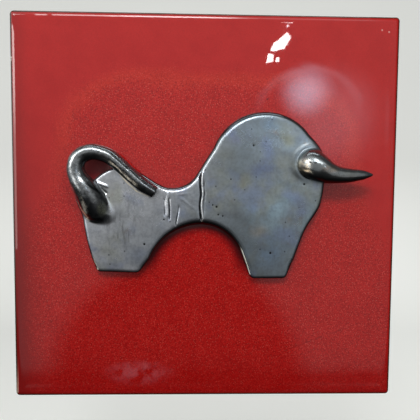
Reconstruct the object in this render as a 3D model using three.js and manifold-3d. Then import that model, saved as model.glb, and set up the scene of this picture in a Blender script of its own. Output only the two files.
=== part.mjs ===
// A square glazed ceramic wall tile that carries a bull in relief: a slab of clay with a rolled tail and horn.
// Millimetres, +Z up. The origin is the middle of the back, on the wall, and the glazed face looks along -Y.
// Everything is built lying on its back, with x across, y up the tile and z out of the wall, and then stood up.
import * as THREE from "three";
import { mergeVertices } from "three/addons/utils/BufferGeometryUtils.js";
import Module from "manifold-3d";

const wasm = await Module();
wasm.setup();

// The tile
const TILE_WIDTH = 300;
const TILE_HEIGHT = 300;
const TILE_DEPTH = 16; // from the wall to the glazed face
const CORNER_RADIUS = 3; // of the tile's outline, seen from the front
const FACE_EDGE_RADIUS = 2.6; // the glazed edge round the face
const BACK_EDGE_RADIUS = 1;
const RIM_WIDTH = 14; // the foot rim round the back
const RIB_WIDTH = 16; // the two ribs that cross in the middle of the back
const RECESS_DEPTH = 6; // of the four hollows between them
const RECESS_CORNER_RADIUS = 6;

// The bull
const FIGURE_LENGTH = 230; // from the bend of the tail to the tip of the horn
const SLAB_THICKNESS = 7;
const SLAB_EDGE_RADIUS = 3;
const FOOT_CORNER_RADIUS = 3; // of the slab's outline at the heels and toes
const BOND_GAP = 0.3; // the bed between the glazed face and the back of the slab
const STROKE_DEPTH = 1.2; // of the deepest stroke scratched across the waist

// How finely round shapes are divided
const EDGE_STEPS = 4;
const CORNER_STEPS = 4;
const OUTLINE_STEPS = 7;
const COIL_SIDES = 20;
const COIL_STEP = 3.4; // millimetres along a coil
const STROKE_SIDES = 10;

const PAST = 1; // how far a cutting solid reaches past what it cuts

// Places and radii on the figure are in hundredths of its length, from the middle of the tile.
const hundredth = FIGURE_LENGTH / 100;

// The outline of the slab. Arcs run from one angle to another about their middle.
const BELLY_BEHIND = { x: -1.7, y: -23.6, radius: 18.3, from: 158, to: 90 };
const BELLY_BEFORE = { x: -1.7, y: -20.0, radius: 14.7, from: 90, to: 20 };
const HUMP = { x: 19.8, y: 14.4, radius: 18.3, from: 36, to: 160 };
const SADDLE = { x: -11.4, y: 16.7, radius: 9.7, from: -30, to: -105 };
const HIND_FOOT = [[-36.2, -21.2], [-22.4, -21.5]];
const FORE_FOOT = [[15.4, -23.3], [27.2, -23.4]];
const CHEST = [[30.2, -16.6], [32.4, -10.2], [34.2, -6.1], [38.1, 0.2]];
const FACE = [[39.4, 5.0], [39.9, 9.1], [40.0, 14.5], [38.9, 19.8], [36.6, 23.2]];
const RUMP = [[-16.6, 8.6], [-23.0, 12.6], [-27.6, 13.9], [-31.4, 13.5], [-35.6, 11.2], [-38.6, 8.5]];
const THIGH = [[-43.2, 5.6], [-43.1, 2.2], [-41.3, -2.4], [-40.5, -6.9], [-39.5, -11.6], [-38.2, -16.4]];

// The rolled coils: places along the middle of each, how far out from the slab's face it lies, and its radius.
// The tail starts thick and round-ended on the rump, loops up and over, and is laid down along the back.
const TAIL = [
  { x: -36.4, y: 0.2, out: 1.4, radius: 3.8 },
  { x: -37.3, y: 3.0, out: 1.6, radius: 4.0 },
  { x: -39.2, y: 6.4, out: 1.7, radius: 3.7 },
  { x: -41.5, y: 10.0, out: 1.7, radius: 3.1 },
  { x: -42.4, y: 13.6, out: 1.6, radius: 2.9 },
  { x: -40.9, y: 17.0, out: 1.6, radius: 2.7 },
  { x: -36.9, y: 18.5, out: 1.7, radius: 2.6 },
  { x: -31.6, y: 17.1, out: 1.8, radius: 2.5 },
  { x: -26.4, y: 12.9, out: 2.0, radius: 2.3 },
  { x: -21.6, y: 8.7, out: 2.0, radius: 2.2 },
  { x: -16.7, y: 5.5, out: 1.7, radius: 1.9 },
];
// The horn swells out of the side of the head, turns along the face and thins to its tip.
const HORN = [
  { x: 34.4, y: 15.9, out: -1.6, radius: 4.9 },
  { x: 34.9, y: 15.4, out: 0.7, radius: 5.0 },
  { x: 37.0, y: 13.7, out: 2.5, radius: 4.3 },
  { x: 39.6, y: 12.3, out: 3.3, radius: 3.4 },
  { x: 42.8, y: 11.6, out: 3.8, radius: 2.6 },
  { x: 46.6, y: 11.4, out: 4.0, radius: 2.0 },
  { x: 50.6, y: 11.7, out: 4.0, radius: 1.4 },
  { x: 54.4, y: 11.8, out: 3.9, radius: 0.2 },
];

// Strokes scratched across the waist: where each starts and ends, its width, and its share of STROKE_DEPTH.
const STROKES = [
  { start: [-1.9, 11.0], end: [-1.9, -4.2], width: 1.4, share: 1 },
  { start: [-12.2, 5.4], end: [-11.6, -3.9], width: 1.0, share: 0.75 },
  { start: [-9.4, 0.8], end: [-9.5, -5.2], width: 0.6, share: 0.5 },
];

const CERAMIC_RED = { color: 0xa32a26, roughness: 0.1, metalness: 0 };
const METALLIC_GLAZE = { color: 0x6c7074, roughness: 0.25, metalness: 0.85 };

// Closed geometry as a solid that can be joined and cut.
function solidOf(geometry) {
  geometry.deleteAttribute("normal");
  geometry.deleteAttribute("uv");
  const merged = mergeVertices(geometry, 1e-4);
  const mesh = new wasm.Mesh({
    numProp: 3,
    vertProperties: new Float32Array(merged.attributes.position.array),
    triVerts: new Uint32Array(merged.index.array),
  });
  return new wasm.Manifold(mesh);
}

function meshOf(name, solid, finish) {
  const { vertProperties, triVerts } = solid.getMesh();
  const geometry = new THREE.BufferGeometry();
  geometry.setAttribute("position", new THREE.BufferAttribute(new Float32Array(vertProperties), 3));
  geometry.setIndex(new THREE.BufferAttribute(new Uint32Array(triVerts), 1));
  geometry.computeVertexNormals();
  const mesh = new THREE.Mesh(geometry, new THREE.MeshStandardMaterial(finish));
  mesh.name = name;
  return mesh;
}

// A solid without what lies below z = low.
function cutBelow(solid, low) {
  const { min, max } = solid.boundingBox();
  const height = low - min[2] + PAST;
  const box = new THREE.BoxGeometry(max[0] - min[0] + 2 * PAST, max[1] - min[1] + 2 * PAST, height);
  box.translate((min[0] + max[0]) / 2, (min[1] + max[1]) / 2, low - height / 2);
  return solid.subtract(solidOf(box));
}

// An outline raised from z = low to z = high, with its upper edge rounded.
function raised(outline, low, high, edgeRadius, curveSegments) {
  const geometry = new THREE.ExtrudeGeometry(outline, {
    depth: high - low - edgeRadius,
    bevelEnabled: true,
    bevelThickness: edgeRadius,
    bevelSize: edgeRadius,
    bevelOffset: -edgeRadius,
    bevelSegments: EDGE_STEPS,
    curveSegments,
  });
  return cutBelow(solidOf(geometry).translate([0, 0, low]), low);
}

function roundedRectangle(width, height, radius) {
  const right = width / 2 - radius;
  const top = height / 2 - radius;
  const corners = [[right, top], [-right, top], [-right, -top], [right, -top]];
  const shape = new THREE.Shape();
  corners.forEach(([x, y], quarter) => {
    const start = quarter * Math.PI / 2;
    shape.absarc(x, y, radius, start, start + Math.PI / 2, false);
  });
  shape.closePath();
  return shape;
}

// The tile: a plate with a rounded glazed edge in front and four shallow hollows behind.
function tileSolid() {
  const middle = TILE_DEPTH / 2;
  const faceEdge = Math.min(FACE_EDGE_RADIUS, middle);
  const outline = roundedRectangle(TILE_WIDTH, TILE_HEIGHT, Math.max(CORNER_RADIUS, faceEdge));
  const front = raised(outline, middle, TILE_DEPTH, faceEdge, CORNER_STEPS);
  const back = raised(outline, 0, middle, BACK_EDGE_RADIUS, CORNER_STEPS);
  const plate = front.add(back.rotate([0, 180, 0]).translate([0, 0, middle]));

  const width = (TILE_WIDTH - 2 * RIM_WIDTH - RIB_WIDTH) / 2;
  const height = (TILE_HEIGHT - 2 * RIM_WIDTH - RIB_WIDTH) / 2;
  const recess = new THREE.ExtrudeGeometry(roundedRectangle(width, height, RECESS_CORNER_RADIUS), {
    depth: RECESS_DEPTH + PAST,
    bevelEnabled: false,
    curveSegments: CORNER_STEPS,
  });
  const hollow = solidOf(recess).translate([0, 0, -PAST]);
  let tile = plate;
  for (const side of [-1, 1]) {
    for (const end of [-1, 1]) {
      const x = side * (width + RIB_WIDTH) / 2;
      const y = end * (height + RIB_WIDTH) / 2;
      tile = tile.subtract(hollow.translate([x, y, 0]));
    }
  }
  return tile;
}

const onFigure = ([x, y]) => new THREE.Vector2(x, y).multiplyScalar(hundredth);

function drawArc(shape, { x, y, radius, from, to }) {
  const middle = onFigure([x, y]);
  const start = THREE.MathUtils.degToRad(from);
  const end = THREE.MathUtils.degToRad(to);
  shape.absarc(middle.x, middle.y, radius * hundredth, start, end, to < from);
}

// A foot: straight down to the first corner, along to the second and up to the next place, with round corners.
function drawFoot(shape, corners, next) {
  const stops = [shape.currentPoint.clone(), ...corners.map(onFigure), onFigure(next)];
  for (let i = 1; i <= corners.length; i++) {
    const corner = stops[i];
    const reach = (stop) => stop.clone().sub(corner).setLength(FOOT_CORNER_RADIUS).add(corner);
    const before = reach(stops[i - 1]);
    const after = reach(stops[i + 1]);
    shape.lineTo(before.x, before.y);
    shape.quadraticCurveTo(corner.x, corner.y, after.x, after.y);
  }
}

// The bull from the side, drawn against the clock from above the hind heel.
function bullOutline() {
  const thighEnd = onFigure(THIGH.at(-1));
  const angle = THREE.MathUtils.degToRad(BELLY_BEHIND.from);
  const groin = [
    BELLY_BEHIND.x + BELLY_BEHIND.radius * Math.cos(angle),
    BELLY_BEHIND.y + BELLY_BEHIND.radius * Math.sin(angle),
  ];
  const shape = new THREE.Shape();
  shape.moveTo(thighEnd.x, thighEnd.y);
  drawFoot(shape, HIND_FOOT, groin);
  drawArc(shape, BELLY_BEHIND);
  drawArc(shape, BELLY_BEFORE);
  drawFoot(shape, FORE_FOOT, CHEST[0]);
  shape.splineThru([...CHEST, ...FACE].map(onFigure));
  drawArc(shape, HUMP);
  drawArc(shape, SADDLE);
  shape.splineThru([...RUMP, ...THIGH].map(onFigure));
  return shape;
}

// A coil of clay: a round section that follows a smooth line through the stations and swells or thins along it.
function coil(stations, slabFace) {
  const places = stations.map((s) => new THREE.Vector3(s.x, s.y, s.out).multiplyScalar(hundredth));
  const line = new THREE.CatmullRomCurve3(places);
  const radii = new THREE.SplineCurve(stations.map((s, i) => new THREE.Vector2(i, s.radius * hundredth)));
  const steps = Math.ceil(line.getLength() / COIL_STEP);
  const { normals, binormals } = line.computeFrenetFrames(steps);
  const geometry = new THREE.CylinderGeometry(1, 1, 1, COIL_SIDES, steps);
  const position = geometry.attributes.position;
  for (let i = 0; i < position.count; i++) {
    const along = 0.5 - position.getY(i);
    const ring = Math.round(along * steps);
    const radius = radii.getPoint(line.getUtoTmapping(along)).y;
    const place = line.getPointAt(along);
    place.addScaledVector(normals[ring], radius * position.getX(i));
    place.addScaledVector(binormals[ring], radius * position.getZ(i));
    position.setXYZ(i, place.x, place.y, place.z);
  }
  return solidOf(geometry).translate([0, 0, slabFace]);
}

// The round end of a coil, at one of its stations.
function roundEnd(station, slabFace) {
  const geometry = new THREE.SphereGeometry(station.radius * hundredth, COIL_SIDES, COIL_SIDES / 2);
  geometry.rotateX(Math.PI / 2);
  geometry.translate(station.x * hundredth, station.y * hundredth, slabFace + station.out * hundredth);
  return solidOf(geometry);
}

// What a tool drags out of the clay: a long thin spindle, half in the slab.
function stroke({ start, end, width, share }, slabFace) {
  const from = onFigure(start);
  const to = onFigure(end);
  const geometry = new THREE.SphereGeometry(1, STROKE_SIDES, STROKE_SIDES);
  geometry.scale(width * hundredth / 2, from.distanceTo(to) / 2, share * STROKE_DEPTH);
  geometry.rotateZ(to.sub(from).angle() + Math.PI / 2);
  geometry.translate((from.x + onFigure(end).x) / 2, (from.y + onFigure(end).y) / 2, slabFace);
  return solidOf(geometry);
}

// The bull: its slab, with the tail and the horn luted on in one clay.
function bullSolid() {
  const slabBack = TILE_DEPTH + BOND_GAP;
  const slabFace = slabBack + SLAB_THICKNESS;
  const edgeRadius = Math.min(SLAB_EDGE_RADIUS, SLAB_THICKNESS);
  let bull = raised(bullOutline(), slabBack, slabFace, edgeRadius, OUTLINE_STEPS);
  for (const mark of STROKES) {
    bull = bull.subtract(stroke(mark, slabFace));
  }
  const tail = coil(TAIL, slabFace).add(roundEnd(TAIL[0], slabFace));
  const horn = coil(HORN, slabFace);
  return cutBelow(bull.add(tail).add(horn), slabBack);
}

const plaque = new THREE.Group();
plaque.add(meshOf("glazed_tile", tileSolid(), CERAMIC_RED));
plaque.add(meshOf("bull_relief", bullSolid(), METALLIC_GLAZE));
plaque.rotation.x = Math.PI / 2;

export default plaque;
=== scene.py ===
"""The looks of a red glazed wall tile with a dark metallic bull in relief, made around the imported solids.

The row frame is in metres: x across, z up, and the glazed face looks along -y. The modelling is in
millimetres, in tile coordinates: x across, z up, h out of the glazed face.
"""
import math

import bmesh
import bpy
import numpy as np
from mathutils import Matrix, Vector

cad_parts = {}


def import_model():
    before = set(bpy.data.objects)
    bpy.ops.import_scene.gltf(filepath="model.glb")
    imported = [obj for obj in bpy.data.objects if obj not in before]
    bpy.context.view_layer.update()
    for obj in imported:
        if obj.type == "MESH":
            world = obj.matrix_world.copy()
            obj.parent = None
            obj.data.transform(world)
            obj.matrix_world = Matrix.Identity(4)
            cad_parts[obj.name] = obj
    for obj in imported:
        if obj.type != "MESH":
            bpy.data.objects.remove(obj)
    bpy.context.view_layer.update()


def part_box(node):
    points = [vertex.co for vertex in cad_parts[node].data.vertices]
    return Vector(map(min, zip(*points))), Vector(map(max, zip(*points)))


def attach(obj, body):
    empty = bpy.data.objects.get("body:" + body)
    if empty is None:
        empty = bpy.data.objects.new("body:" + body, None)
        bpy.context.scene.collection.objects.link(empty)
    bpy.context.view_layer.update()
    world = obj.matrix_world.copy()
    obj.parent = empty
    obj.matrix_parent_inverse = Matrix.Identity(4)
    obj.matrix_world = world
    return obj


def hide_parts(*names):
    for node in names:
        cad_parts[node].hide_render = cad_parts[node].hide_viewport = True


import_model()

MM = 0.001
tile_low, tile_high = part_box("glazed_tile")
FACE_Y = tile_low.y
HALF_WIDTH = tile_high.x / MM
HALF_HEIGHT = tile_high.z / MM
TILE_DEPTH = (tile_high.y - tile_low.y) / MM

# The tile, in millimetres
CORNER_RADIUS = 3.0
EDGE_WIDTH = 4.6        # how far in from the outline the face starts to fall away
EDGE_DROP = 2.6         # and how far it falls
BACK_EDGE = 1.0
RIM_WIDTH = 14.0
RIB_WIDTH = 16.0
RECESS_DEPTH = 6.0
RECESS_CORNER_RADIUS = 6.0
WAVE_HEIGHT = 0.035     # the face isn't quite flat
# How far in the rings of its mesh lie, wider apart towards the middle
FACE_RINGS = (5.2, 6.2, 7.5, 9, 11, 13.5, 17, 21, 26, 32, 39, 47, 56, 66, 77, 89, 101, 113, 125, 136, 145)

# The bull, in millimetres
FIGURE_LENGTH = 230
HUNDREDTH = FIGURE_LENGTH / 100   # the figure's places are in hundredths of its length
SLAB_BACK = 0.3
SLAB_FACE = 7.3
SLAB_EDGE_RADIUS = 3.4
BELLY_EDGE_MORE = 1.6   # the edge is rounder over the belly's arch
HUMP_EDGE_MORE = 2.2    # and over the hump
FOOT_EDGE_LESS = 1.2    # and sharper under the feet
VOXEL = 0.6

# The outline of the slab, as in the solids
BELLY_BEHIND = (-1.7, -23.6, 18.3, 158, 90)
BELLY_BEFORE = (-1.7, -20.0, 14.7, 90, 20)
HUMP = (19.8, 14.4, 18.3, 36, 160)
SADDLE = (-11.4, 16.7, 9.7, -30, -105)
HIND_FOOT = [(-36.2, -21.2), (-22.4, -21.5)]
FORE_FOOT = [(15.4, -23.3), (27.2, -23.4)]
CHEST = [(30.2, -16.6), (32.4, -10.2), (34.2, -6.1), (38.1, 0.2)]
FACE = [(39.4, 5.0), (39.9, 9.1), (40.0, 14.5), (38.9, 19.8), (36.6, 23.2)]
RUMP = [(-16.6, 8.6), (-23.0, 12.6), (-27.6, 13.9), (-31.4, 13.5), (-35.6, 11.2), (-38.6, 8.5)]
THIGH = [(-43.2, 5.6), (-43.1, 2.2), (-41.3, -2.4), (-40.5, -6.9), (-39.5, -11.6), (-38.2, -16.4)]
FOOT_CORNER_RADIUS = 3.0

# The coils, close to the solids' own: x, z, how far out of the slab's face, radius
TAIL = [
    (-36.5, -0.6, -1.2, 4.1), (-37.4, 2.2, 0.1, 4.45), (-39.1, 6.2, 1.3, 4.0), (-41.5, 10.0, 1.7, 3.1),
    (-42.4, 13.6, 1.8, 2.9), (-40.9, 17.0, 1.9, 2.7), (-36.9, 18.5, 1.9, 2.6), (-31.6, 17.1, 1.9, 2.5),
    (-26.4, 12.9, 2.0, 2.35), (-21.6, 8.7, 2.0, 2.25), (-16.7, 5.5, 1.7, 1.95),
]
HORN = [
    (34.9, 15.7, -1.6, 4.8), (35.3, 15.3, 0.5, 4.9), (37.2, 13.8, 2.15, 4.4), (39.8, 12.4, 2.98, 3.55),
    (42.9, 11.7, 3.5, 2.8), (46.7, 11.5, 3.6, 2.25), (50.6, 11.7, 3.6, 1.65), (53.9, 11.8, 3.5, 0.5),
]


def row_frame(x, z, h):
    """Tile coordinates in millimetres to the row frame in metres."""
    return Vector((x * MM, FACE_Y - h * MM, z * MM))


def placed(name, data):
    """An object of the given data, in the scene."""
    obj = bpy.data.objects.new(name, data)
    bpy.context.scene.collection.objects.link(obj)
    return obj


# Curves and fields

def spline(points, count):
    """A smooth line through the points, at count places."""
    p = np.asarray(points, float)
    t = np.linspace(0, len(p) - 1, count)
    i = np.minimum(t.astype(int), len(p) - 2)
    w = (t - i)[:, None]
    before = p[np.maximum(i - 1, 0)]
    start = p[i]
    end = p[i + 1]
    after = p[np.minimum(i + 2, len(p) - 1)]
    a = 2 * start
    b = end - before
    c = 2 * before - 5 * start + 4 * end - after
    d = 3 * start - before - 3 * end + after
    return 0.5 * (a + b * w + c * w**2 + d * w**3)


def arc(x, z, radius, start, end, count=30):
    angles = np.radians(np.linspace(start, end, count))
    return np.stack([x + radius * np.cos(angles), z + radius * np.sin(angles)], 1)


def rounded_foot(before, corners, after):
    """The two corners of a foot, each rounded by a short curve."""
    stops = [np.array(before), *[np.array(c) for c in corners], np.array(after)]
    radius = FOOT_CORNER_RADIUS / HUNDREDTH
    points = []
    for i in (1, 2):
        start = stops[i] + radius * (stops[i - 1] - stops[i]) / np.linalg.norm(stops[i - 1] - stops[i])
        end = stops[i] + radius * (stops[i + 1] - stops[i]) / np.linalg.norm(stops[i + 1] - stops[i])
        for t in np.linspace(0, 1, 7):
            points.append((1 - t) ** 2 * start + 2 * t * (1 - t) * stops[i] + t**2 * end)
    return np.array(points)


def bull_outline():
    """The slab's outline once round, in millimetres."""
    groin = arc(*BELLY_BEHIND)[0]
    parts = [
        rounded_foot(THIGH[-1], HIND_FOOT, groin),
        arc(*BELLY_BEHIND),
        arc(*BELLY_BEFORE)[1:],
        rounded_foot(arc(*BELLY_BEFORE)[-1], FORE_FOOT, CHEST[0]),
        spline(CHEST + FACE, 60),
        arc(*HUMP, count=50),
        arc(*SADDLE),
        spline(RUMP + THIGH, 80),
    ]
    return np.concatenate(parts) * HUNDREDTH


def outline_distance(x, z, outline):
    """Distance to a closed outline, below nought inside it."""
    best = np.full(x.shape, 1e9)
    inside = np.zeros(x.shape, bool)
    for (x0, z0), (x1, z1) in zip(outline, np.roll(outline, -1, 0)):
        dx, dz = x1 - x0, z1 - z0
        t = np.clip(((x - x0) * dx + (z - z0) * dz) / (dx * dx + dz * dz + 1e-12), 0, 1)
        best = np.minimum(best, (x - x0 - t * dx) ** 2 + (z - z0 - t * dz) ** 2)
        crosses = (z0 > z) != (z1 > z)
        if dz:
            inside ^= crosses & (x < x0 + (z - z0) * dx / dz)
    return np.where(inside, -1, 1) * np.sqrt(best)


def ripple(seed, length, *coordinates):
    """A smooth uneven field between about -1 and 1, with waves of about the given length."""
    rng = np.random.default_rng(seed)
    total = 0
    waves = 9
    for _ in range(waves):
        direction = rng.normal(size=len(coordinates))
        direction *= 2 * math.pi / (length * rng.uniform(0.7, 1.5) * np.linalg.norm(direction))
        phase = rng.uniform(0, 2 * math.pi)
        total = total + np.sin(sum(d * c for d, c in zip(direction, coordinates)) + phase)
    return total / math.sqrt(waves * 1.5)


def blended(a, b, width):
    """The union of two solids with a fillet of the given width between them."""
    overlap = np.maximum(width - np.abs(a - b), 0) / width
    return np.minimum(a, b) - overlap**3 * width / 6


def near(x, z, place, size):
    """1 at a place, falling off smoothly over a size."""
    return np.exp(-((x - place[0]) ** 2 + (z - place[1]) ** 2) / size**2)


def along_stroke(x, z, start, end):
    """How far across a stroke each point is, and how much of the stroke reaches it."""
    (x0, z0), (x1, z1) = start, end
    length = math.hypot(x1 - x0, z1 - z0)
    dx, dz = (x1 - x0) / length, (z1 - z0) / length
    along = (x - x0) * dx + (z - z0) * dz
    across = (x - x0) * dz - (z - z0) * dx
    reach = 1 / (1 + np.exp(-(along + 0.3) / 0.5)) / (1 + np.exp((along - length - 0.3) / 0.5))
    return across, reach


# Strokes over the waist: start, end, half width, and depth, which is below nought for a raised burr.
STROKES = [
    ((-4.4, 27.0), (-4.2, -8.0), 0.6, 1.3),
    ((-2.9, 28.5), (-2.8, -10.0), 0.7, -0.8),
    ((-1.0, 22.0), (-1.1, -2.0), 0.45, 0.45),
    ((-28.7, 12.0), (-28.9, -5.5), 0.55, -0.5),
    ((-27.2, 8.0), (-27.6, -8.0), 0.5, 0.75),
    ((-21.7, 1.5), (-22.5, -12.0), 0.5, 0.75),
    ((-31.1, 7.5), (-31.2, -5.0), 0.55, 0.6),
    ((-22.5, 12.4), (-8.0, 13.6), 0.9, 0.12),
    ((-20.5, 11.0), (-8.0, 13.9), 0.9, -0.12),
    ((-19.5, 8.4), (-9.5, 1.2), 0.9, -0.12),
    ((-17.0, 9.5), (-12.0, 3.0), 0.8, 0.08),
]
# Pits in the slab's face: x, z, radius
PITS = [
    (36.0, 49.0, 0.9), (50.0, -33.5, 0.9), (8.2, 2.0, 0.9), (5.2, 3.4, 0.7), (2.5, 5.5, 0.55),
    (9.5, -4.0, 0.7), (-47.0, -27.0, 0.9), (19.0, 23.2, 0.6), (13.0, -5.0, 0.7), (75.3, 19.8, 0.9),
    (-32.0, -8.0, 0.7),
]


def face_relief(x, z):
    """How far the slab's skin is sunk, in millimetres, by strokes and pits, and raised by their burrs."""
    sunk = np.zeros(x.shape)
    wobble = 0.5 * ripple(14, 15.0, x, z)
    for start, end, width, depth in STROKES:
        across, reach = along_stroke(x, z, start, end)
        sunk += depth * reach * np.exp(-(((across + wobble) / width) ** 2))
    for px, pz, radius in PITS:
        sunk += 0.15 * near(x, z, (px, pz), radius)
    # the lip of clay smeared over from the root of the tail, and the crease between the two
    across, reach = along_stroke(x, z, (-86.5, 21.3), (-75.0, 16.9))
    sunk -= 0.65 * reach * np.exp(-((across / 0.95) ** 2))
    across, reach = along_stroke(x, z, (-84.5, 18.6), (-75.8, 11.8))
    sunk += 0.8 * reach * np.exp(-((across / 0.9) ** 2))
    return sunk


def coil_stations(stations, count):
    """Middle line and radii of a coil, in millimetres."""
    line = spline(stations, count) * HUNDREDTH
    middle = np.stack([line[:, 0], line[:, 1], line[:, 2] + SLAB_FACE], 1)
    return middle, line[:, 3]


def coil_field(grid, stations, count, facets):
    """Distance to a coil of changing radius, with the part of the grid that it was worked out for.

    facets(share) gives how square the section is at a share of the length, and how it is turned.
    """
    middle, radii = coil_stations(stations, count)
    reach = radii.max() + 5
    low = middle.min(0) - reach
    high = middle.max(0) + reach
    part = tuple(slice(*np.searchsorted(axis, (a, b))) for axis, a, b in zip(grid, low, high))
    x, z, h = np.meshgrid(*[axis[s] for axis, s in zip(grid, part)], indexing="ij")
    p = np.stack([x, z, h], -1).astype(np.float32)
    best = np.full(x.shape, 1e9, np.float32)
    where = np.zeros(x.shape, np.float32)
    for i in range(count - 1):
        a = middle[i].astype(np.float32)
        d = (middle[i + 1] - middle[i]).astype(np.float32)
        t = np.clip(((p - a) @ d) / (d @ d), 0, 1)
        away = np.linalg.norm(p - a - t[..., None] * d, axis=-1) - (radii[i] + t * (radii[i + 1] - radii[i]))
        closer = away < best
        best = np.where(closer, away, best)
        where = np.where(closer, i + t, where)
    numbers = np.arange(count)
    tangents = np.gradient(middle, axis=0)
    tangents /= np.linalg.norm(tangents, axis=1, keepdims=True)
    outward = np.array([0, 0, 1.0]) - tangents * tangents[:, 2:]
    outward /= np.linalg.norm(outward, axis=1, keepdims=True)
    sideways = np.cross(tangents, outward)

    def at(values):
        return np.stack([np.interp(where, numbers, v) for v in values.T], -1)

    offset = p - at(middle)
    u = (offset * at(sideways)).sum(-1)
    v = (offset * at(outward)).sum(-1)
    squareness, turn = facets(where / (count - 1))
    ur = np.abs(u * np.cos(turn) + v * np.sin(turn)) + 1e-6
    vr = np.abs(v * np.cos(turn) - u * np.sin(turn)) + 1e-6
    across = np.hypot(ur, vr)
    power = 2 - 0.75 * squareness
    angular = (ur**power + vr**power) ** (1 / power)
    field = best + (angular - across) * 0.62
    field += 0.14 * ripple(11, 13.0, x, z, h) + 0.05 * ripple(12, 5.0, x, z, h)
    return part, field, p


def tail_facets(share):
    """The tail is pinched to a ridge where it comes down along the back."""
    pinch = np.clip((share - 0.62) / 0.12, 0, 1)
    return 0.12 + 0.75 * pinch, np.full(share.shape, 0.15)


def horn_facets(share):
    return 0.12 + 0.15 * np.clip(1 - share * 2, 0, 1), np.full(share.shape, 0.5)


def bull_field():
    """The whole bull as a field of distances on a grid, below nought inside it."""
    margin = 3 * VOXEL
    low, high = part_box("bull_relief")
    xs = np.arange(low.x / MM - margin, high.x / MM + margin, VOXEL)
    zs = np.arange(low.z / MM - margin, high.z / MM + margin, VOXEL)
    hs = np.arange(SLAB_BACK - 0.55, (FACE_Y - low.y) / MM + margin, VOXEL)
    grid = (xs, zs, hs)
    x, z = np.meshgrid(xs, zs, indexing="ij")
    edge = outline_distance(x, z, bull_outline()) + 0.16 * ripple(3, 34.0, x, z)
    sunk = face_relief(x, z)

    # the clay is pushed up round the horn, most on its left
    horn_root = np.array(HORN[0][:2]) * HUNDREDTH
    from_root = np.hypot(x - horn_root[0], z - horn_root[1])
    leftward = -(x - horn_root[0]) / (from_root + 1e-6)
    left_of_horn = np.clip(0.5 + 0.75 * leftward + 0.25 * (z - horn_root[1]) / 11, 0, 1)
    collar = 0.8 * left_of_horn * np.exp(-(((from_root - 12.4) / 2.8) ** 2))
    # and smeared down from the root of the tail
    smear = 0.4 * near(x, z, (-71.0, 0.0), 8.0)
    top = SLAB_FACE + 0.10 * ripple(5, 48.0, x, z) + 0.035 * ripple(6, 14.0, x, z) + collar + smear
    radius = SLAB_EDGE_RADIUS + BELLY_EDGE_MORE * near(x, z, (-4.0, -14.0), 26.0)
    radius += 0.25 * ripple(7, 60.0, x, z)
    radius += HUMP_EDGE_MORE * near(x, z, (35.0, 52.0), 55.0)
    radius -= FOOT_EDGE_LESS * np.clip((-z - 44) / 6, 0, 1)
    top -= 0.30 * near(x, z, (-4.0, -16.0), 26.0) * np.exp(np.minimum(edge, 0) / 5.0)

    across = (edge + radius)[..., None]
    height = (hs[None, None, :] - (top - radius)[..., None])
    corner = np.hypot(np.maximum(across, 0), np.maximum(height, 0))
    slab = corner + np.minimum(np.maximum(across, height), 0) - radius[..., None] + sunk[..., None]

    field = slab.astype(np.float32)
    part, tail, p = coil_field(grid, TAIL, 90, tail_facets)
    middle = coil_stations(TAIL, 90)[0]
    end_direction = middle[-1] - middle[-3]
    end_direction /= np.linalg.norm(end_direction)
    tail = np.maximum(tail, (p - middle[-1]) @ end_direction)
    fillet = 0.7 + 12.0 * near(p[..., 0], p[..., 1], (-73.0, -5.0), 9.0)
    field[part] = blended(field[part], tail, fillet)
    part, horn, p = coil_field(grid, HORN, 60, horn_facets)
    fillet = 0.4 + 4.0 * near(p[..., 0], p[..., 1], (89.0, 45.0), 8.0)
    field[part] = blended(field[part], horn, fillet)
    return grid, np.maximum(field, SLAB_BACK - hs)


def without_pinches(field):
    """Fills the places where two parts of the form meet only along an edge, so the surface stays closed."""
    field = field.copy()
    filled = -0.1 * VOXEL
    # one filling can make another place of the kind, so this is done a few times
    for _ in range(8):
        for one, two in ((0, 1), (0, 2), (1, 2)):
            values = np.moveaxis(field, (one, two), (0, 1))
            a, b, c, d = values[:-1, :-1], values[1:, :-1], values[:-1, 1:], values[1:, 1:]
            b[(a < 0) & (d < 0) & (b >= 0) & (c >= 0)] = filled
            a[(b < 0) & (c < 0) & (a >= 0) & (d >= 0)] = filled
    return field


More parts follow.
